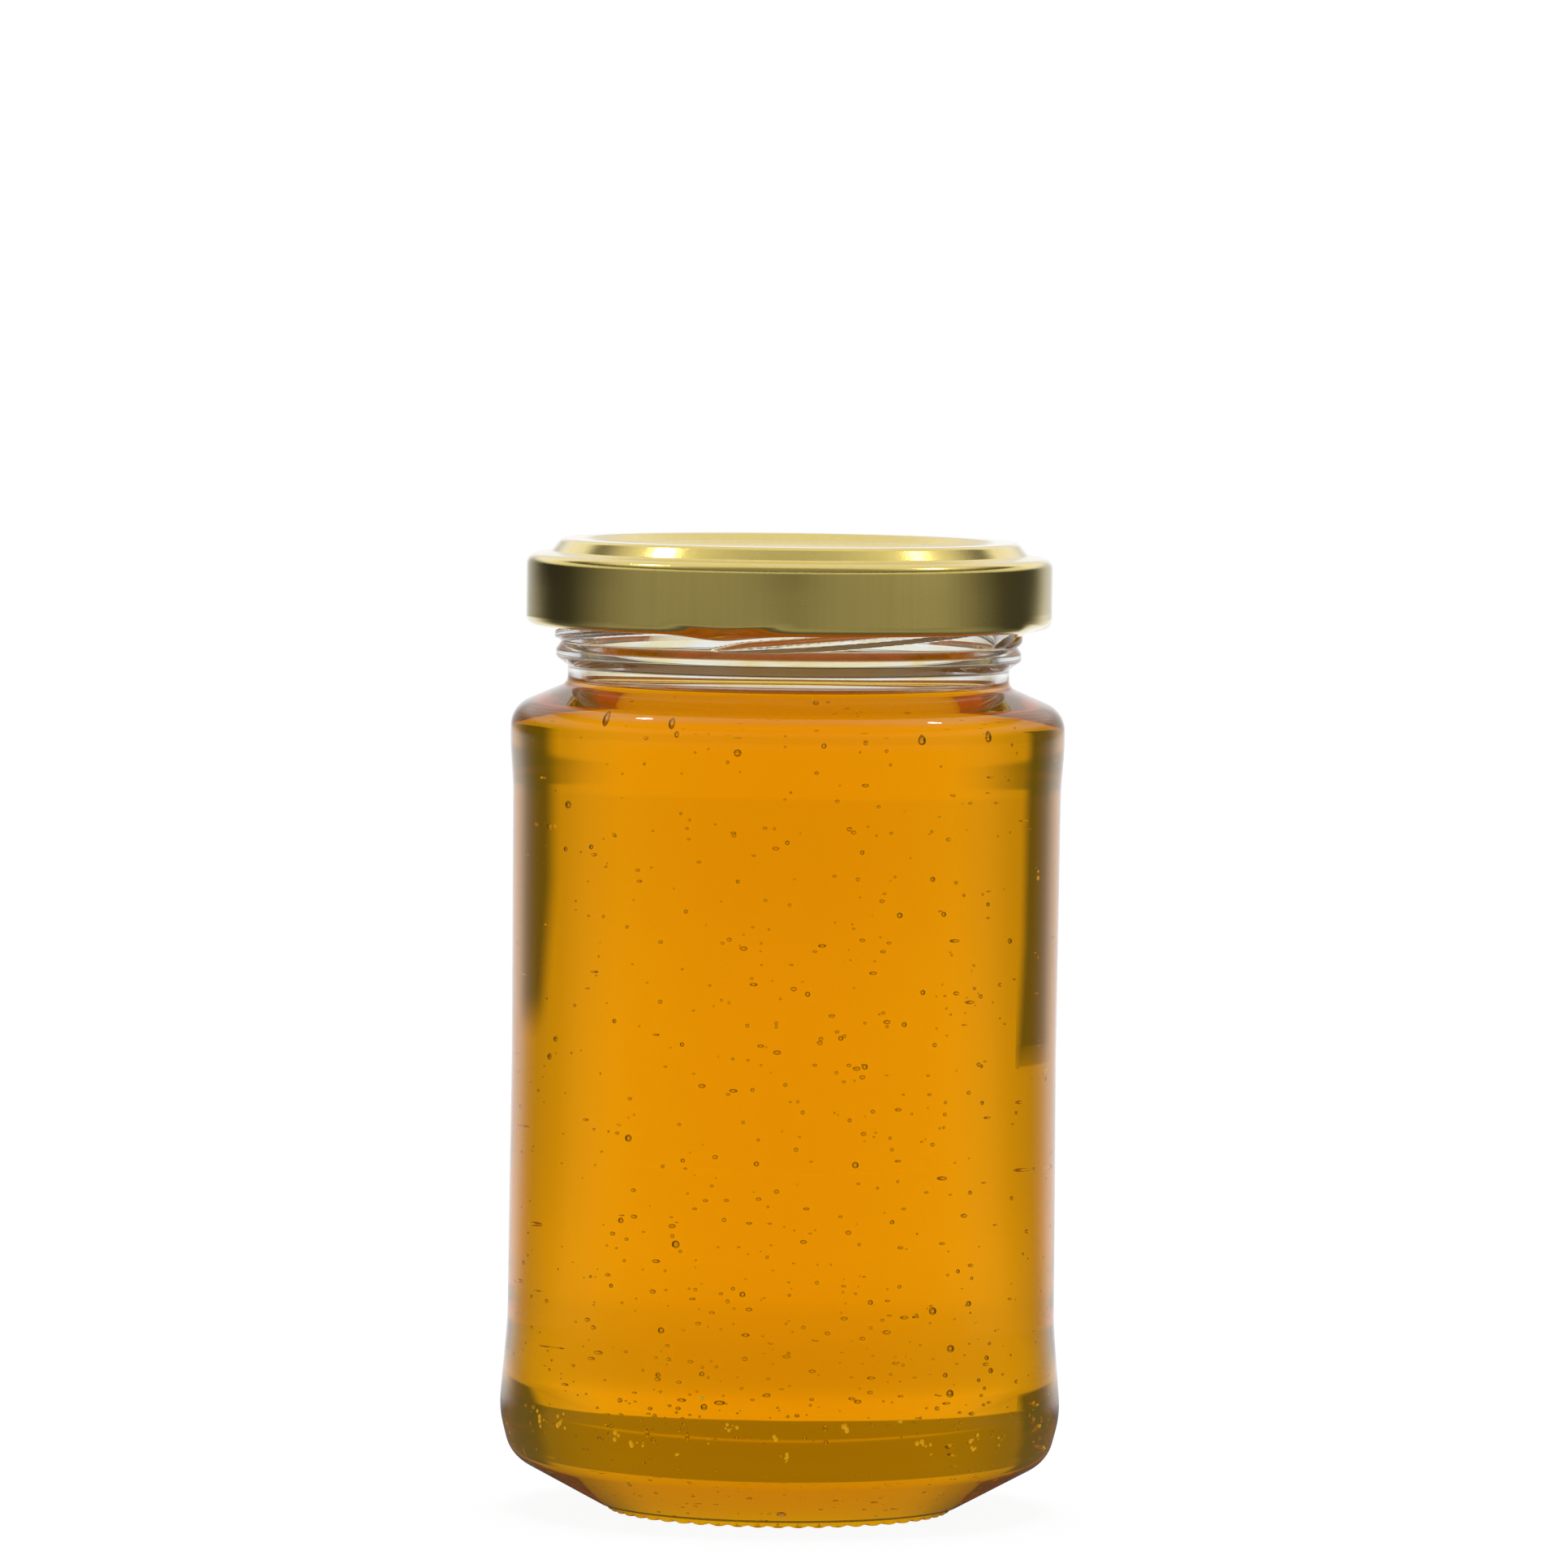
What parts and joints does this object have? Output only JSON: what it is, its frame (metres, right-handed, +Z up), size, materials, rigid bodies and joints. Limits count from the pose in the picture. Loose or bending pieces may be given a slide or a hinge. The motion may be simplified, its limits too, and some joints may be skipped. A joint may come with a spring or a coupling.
{
  "type": "honey jar",
  "caption": "Tall round clear glass jar filled with amber honey and closed by a gold lacquered twist-off lid with lugs and a sealing ring.",
  "frame": {"origin": "centre of the ring the jar stands on, on the axis of the jar", "axes": "+Z up along the jar's axis, -Y towards the front as pictured, +X to the right of the front"},
  "size_m": [0.0734, 0.0734, 0.1279],
  "materials": {
    "clear_glass": "clear, smooth, slightly wavy moulded soda-lime glass",
    "amber_honey": "clear amber liquid with fine air bubbles",
    "gold_lacquered_tinplate": "glossy gold lacquer over fine-grained tinplate",
    "cream_sealing_compound": "soft satin plastic"
  },
  "bodies": {
    "jar": {"glass_jar": "clear_glass", "honey": "amber_honey"},
    "gasket": {"lid_gasket": "cream_sealing_compound"},
    "lid": {"lid_shell": "gold_lacquered_tinplate"}
  },
  "joints": [
    {"name": "lid_rise", "type": "slide", "parent": "jar", "child": "gasket", "axis": [0, 0, 1], "range_m": [0, 0.0147]},
    {"name": "lid_twist", "type": "hinge", "parent": "gasket", "child": "lid", "pos_m": [0, 0, 0.11768], "axis": [0, 0, 1], "range_deg": [0, 360]}
  ],
  "couplings": [
    {"joint": "lid_rise", "follows": "lid_twist", "m_per_rad": 0.0023237}
  ]
}
